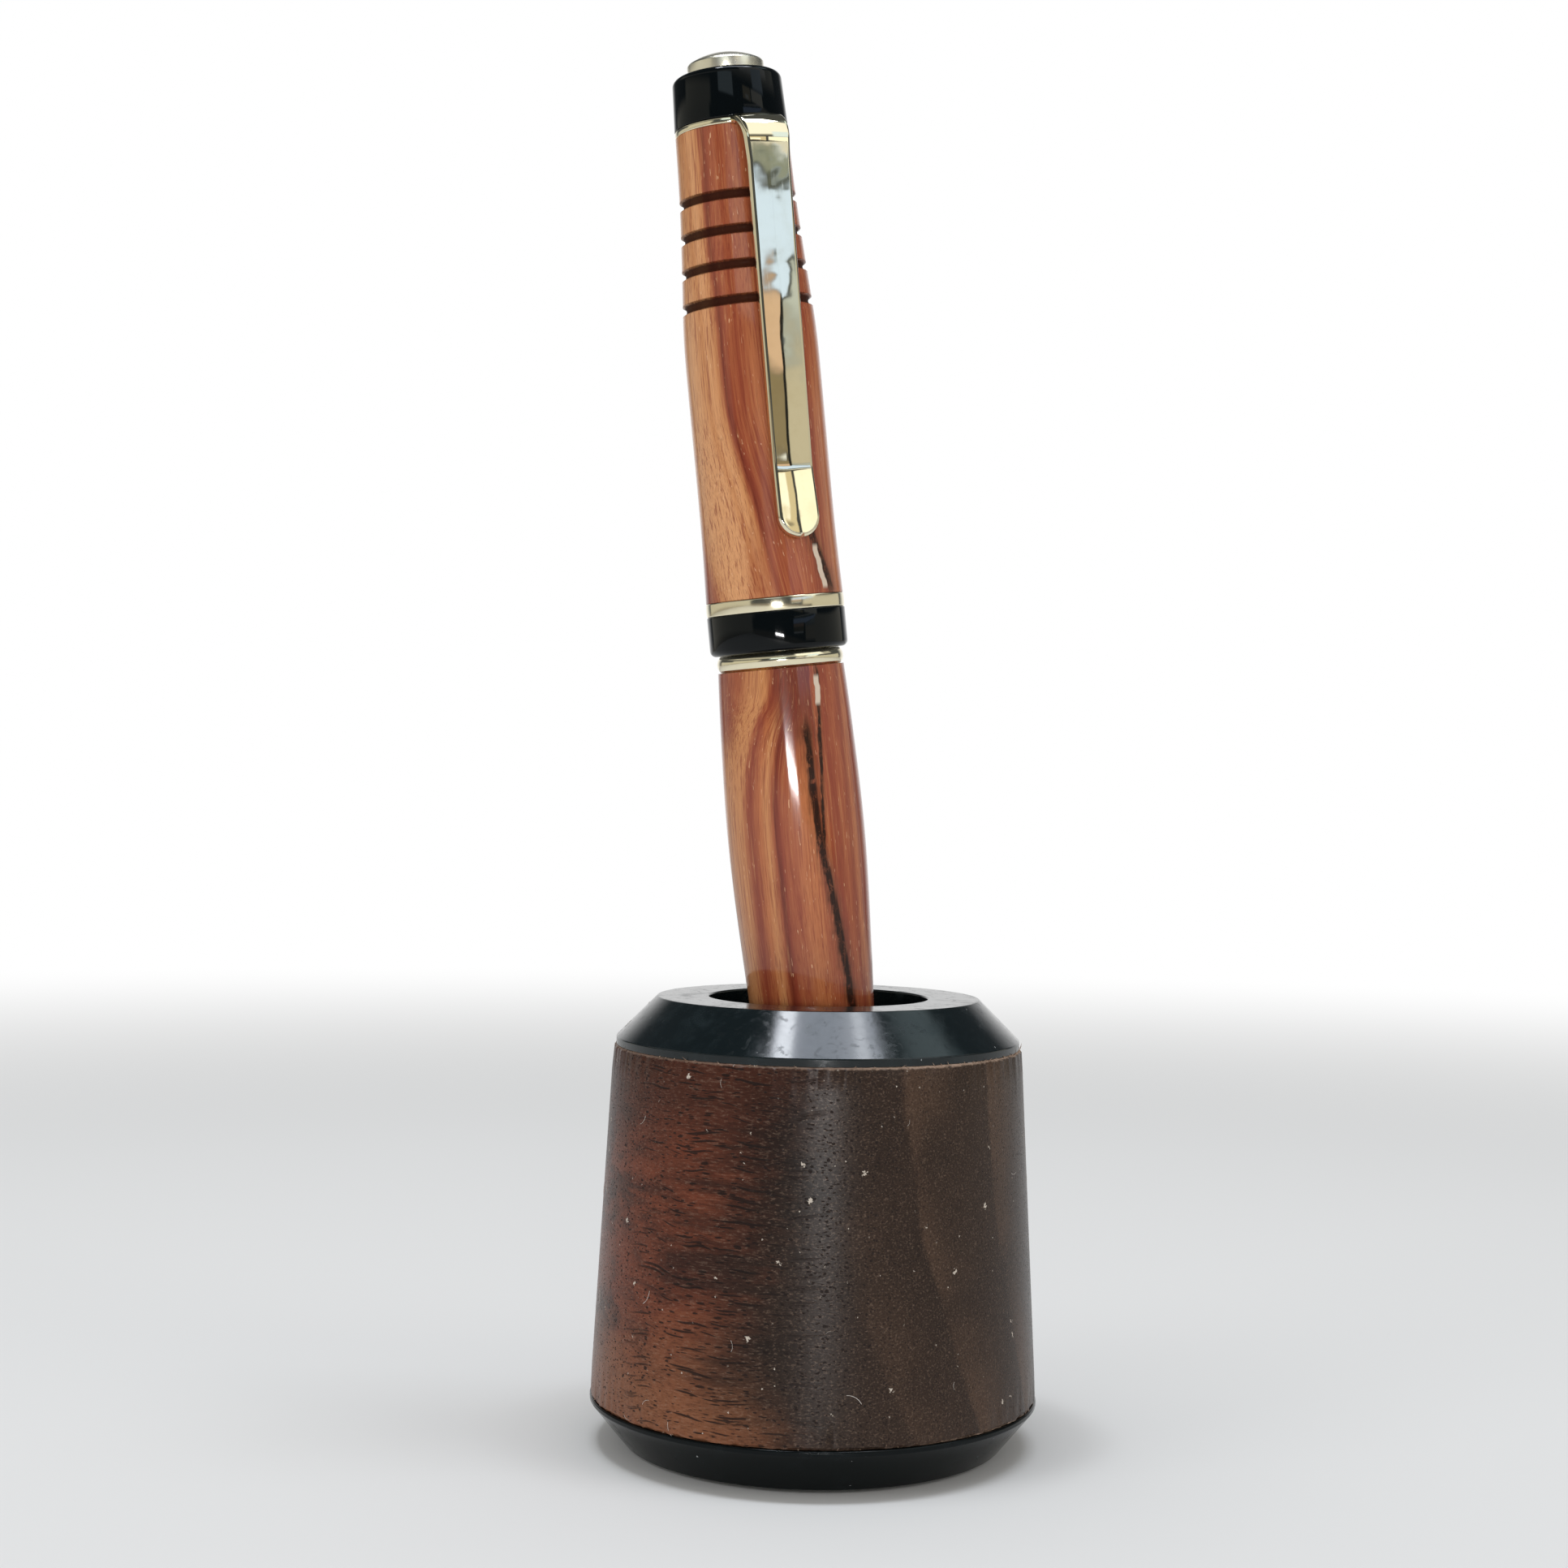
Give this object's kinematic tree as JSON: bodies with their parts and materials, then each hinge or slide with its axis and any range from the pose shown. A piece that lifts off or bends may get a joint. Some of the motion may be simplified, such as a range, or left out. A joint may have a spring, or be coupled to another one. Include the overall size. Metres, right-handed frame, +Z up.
{
  "type": "pen holder",
  "caption": "Round tapered walnut desk pen holder with black bevelled rings and a turned wooden twist pen leaning in its socket.",
  "frame": {"origin": "middle of the underside, on the surface it stands on", "axes": "+Z up; -Y is the front that the picture faces; +X is to the right of that view"},
  "size_m": [0.0498, 0.0498, 0.1532],
  "materials": {
    "walnut": "dark walnut, satin oil finish with open pores",
    "black_resin": "black turned resin, satin gloss with fine wear",
    "black_liner": "black plastic, matt",
    "ballast_steel": "turned steel, dull",
    "felt": "black felt, short nap",
    "pen_wood": "reddish-brown hardwood with tan and dark red stripes, glossy",
    "gold_plate": "bright gold plating, polished",
    "black_band": "black resin, glossy",
    "brass_tube": "drawn brass, plain",
    "spring_steel": "spring wire, bright",
    "refill_metal": "plated ink tube, satin",
    "point_brass": "turned brass point",
    "carriage_plastic": "moulded acetal, dark"
  },
  "bodies": {
    "holder": {"walnut_body": "walnut", "top_collar": "black_resin", "base_ring": "black_resin", "socket_liner": "black_liner", "ballast_disc": "ballast_steel", "foot_pad": "felt"},
    "pen_lower": {"nib": "gold_plate", "lower_barrel": "pen_wood", "lower_tube": "brass_tube", "coupler_ring": "gold_plate", "mechanism_sleeve": "brass_tube", "refill_spring": "spring_steel"},
    "pen_upper": {"band_liner": "brass_tube", "centre_band": "black_band", "trim_ring": "gold_plate", "upper_barrel": "pen_wood", "upper_tube": "brass_tube", "mechanism_driver": "brass_tube", "clip_ring": "gold_plate", "finial": "black_band", "finial_button": "gold_plate", "finial_bush": "brass_tube"},
    "refill": {"refill_tube": "refill_metal", "refill_point": "point_brass", "drive_carriage": "carriage_plastic"},
    "clip": {"clip_arm": "gold_plate"}
  },
  "joints": [
    {"name": "pen_lift", "type": "slide", "parent": "holder", "child": "pen_lower", "axis": [-0.1061, -0.0555, 0.9928], "range_m": [0, 0.06]},
    {"name": "cap_twist", "type": "hinge", "parent": "pen_lower", "child": "pen_upper", "pos_m": [0.00231, 0.00092, 0.02058], "axis": [-0.1061, -0.0555, 0.9928], "range_deg": [0, 180]},
    {"name": "refill_advance", "type": "slide", "parent": "pen_lower", "child": "refill", "axis": [0.1061, 0.0555, -0.9928], "range_m": [0, 0.0055], "deforming": ["refill_spring"]},
    {"name": "clip_flex", "type": "hinge", "parent": "pen_upper", "child": "clip", "pos_m": [-0.00828, -0.01174, 0.1443], "axis": [-0.9024, -0.4141, -0.1196], "range_deg": [0, 4], "stiffness_Nm_per_rad": 5.5}
  ],
  "couplings": [
    {"joint": "refill_advance", "follows": "cap_twist", "m_per_rad": 0.0017507}
  ]
}
